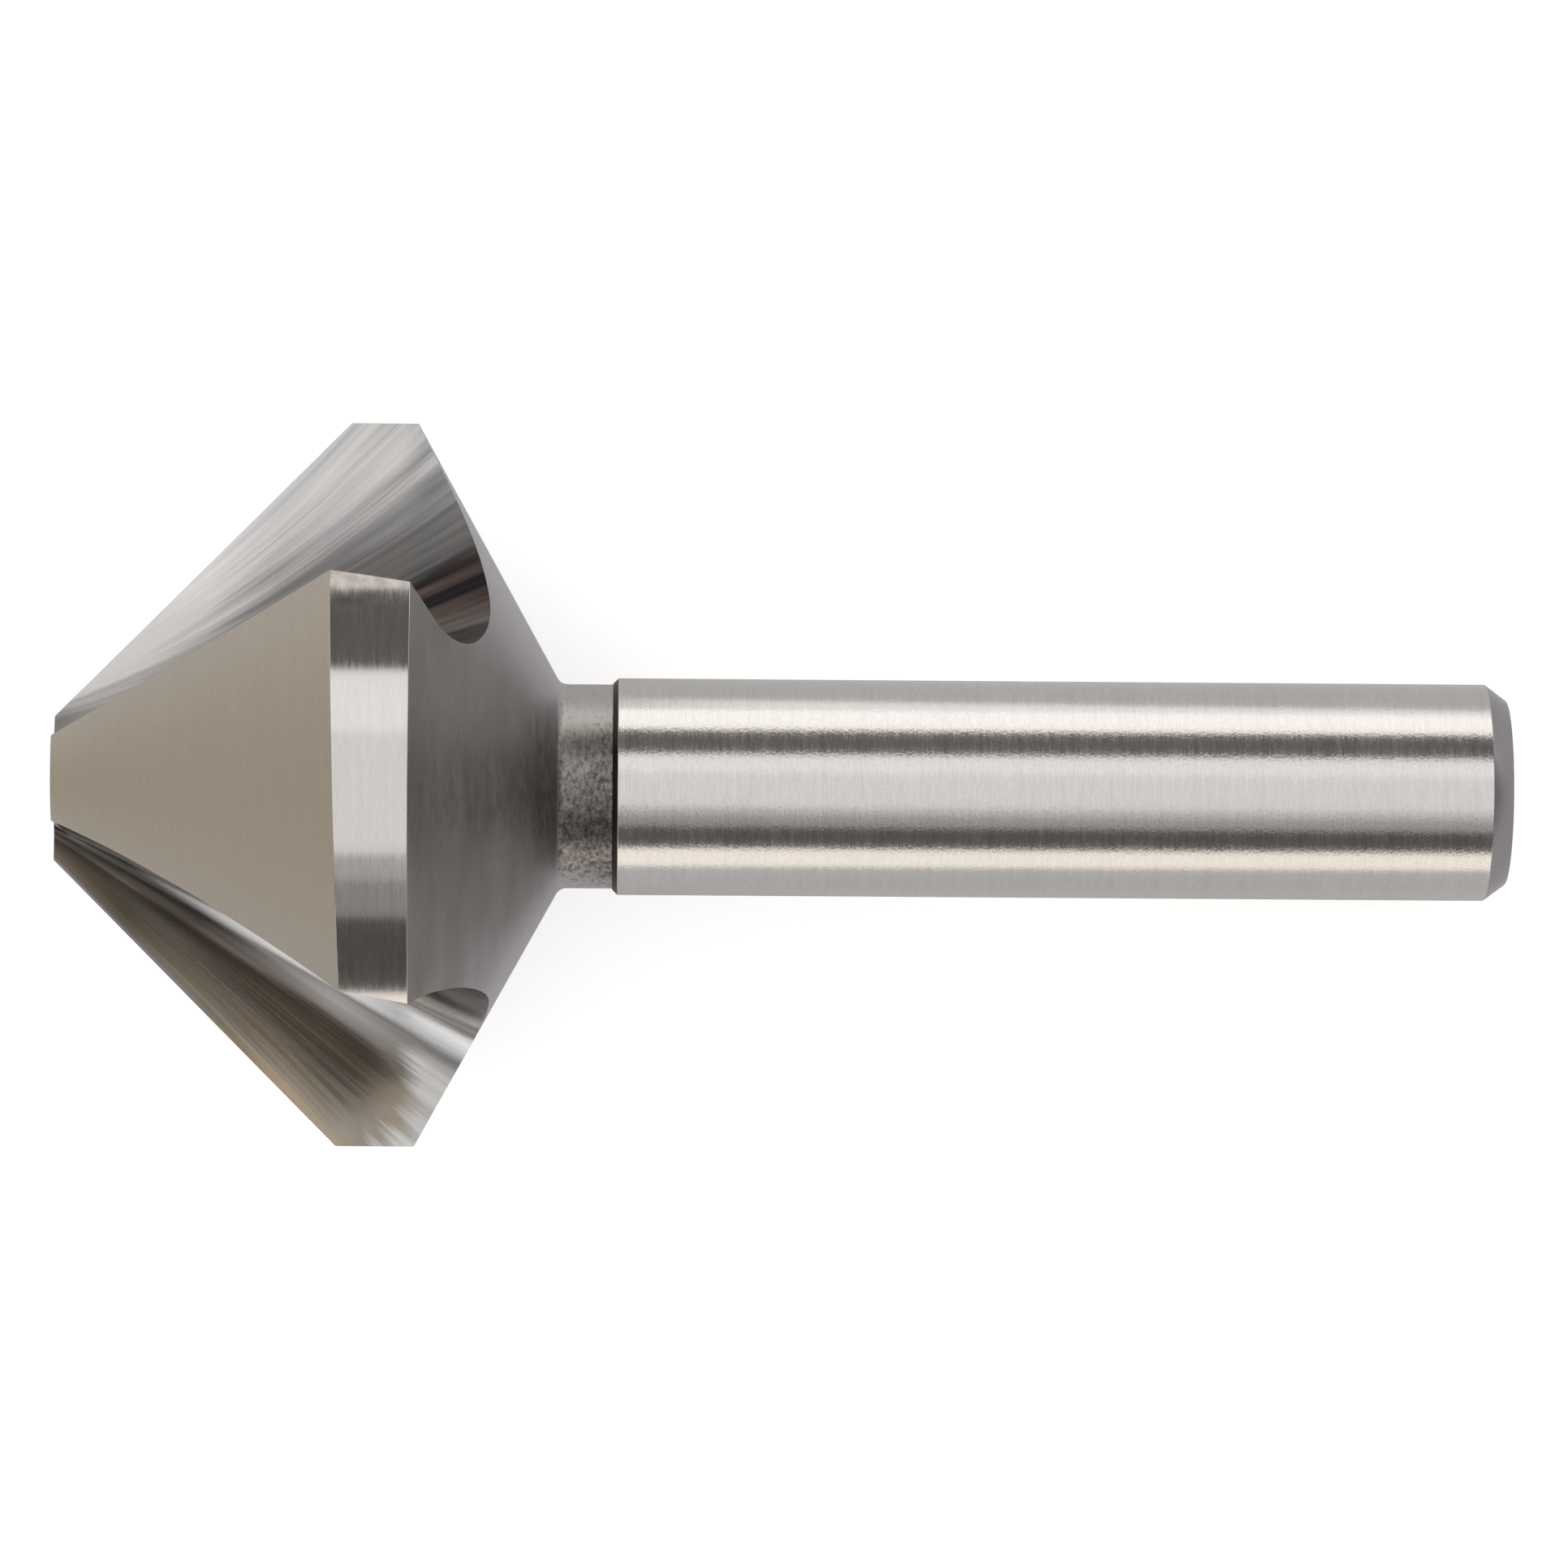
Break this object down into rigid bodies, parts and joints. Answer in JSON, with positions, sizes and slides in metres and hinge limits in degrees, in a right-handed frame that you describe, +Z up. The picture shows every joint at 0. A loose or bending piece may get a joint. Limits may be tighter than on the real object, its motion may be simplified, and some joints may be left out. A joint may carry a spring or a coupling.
{
  "type": "countersink bit",
  "caption": "Fluted countersink bit with a ninety-degree cutting cone, a plain cylindrical margin, a back cone, a short neck and a straight round shank.",
  "frame": {"origin": "on the surface that the tool lies on, under the middle of its box", "axes": "+Z up from that surface; the tool's axis lies in the XZ plane with the nose towards -X and the shank towards +X, sloping down to the shank's end"},
  "size_m": [0.0806, 0.04, 0.038],
  "materials": {
    "high_speed_steel": "fine ground"
  },
  "bodies": {
    "root": {"countersink_bit": "high_speed_steel"}
  },
  "joints": []
}
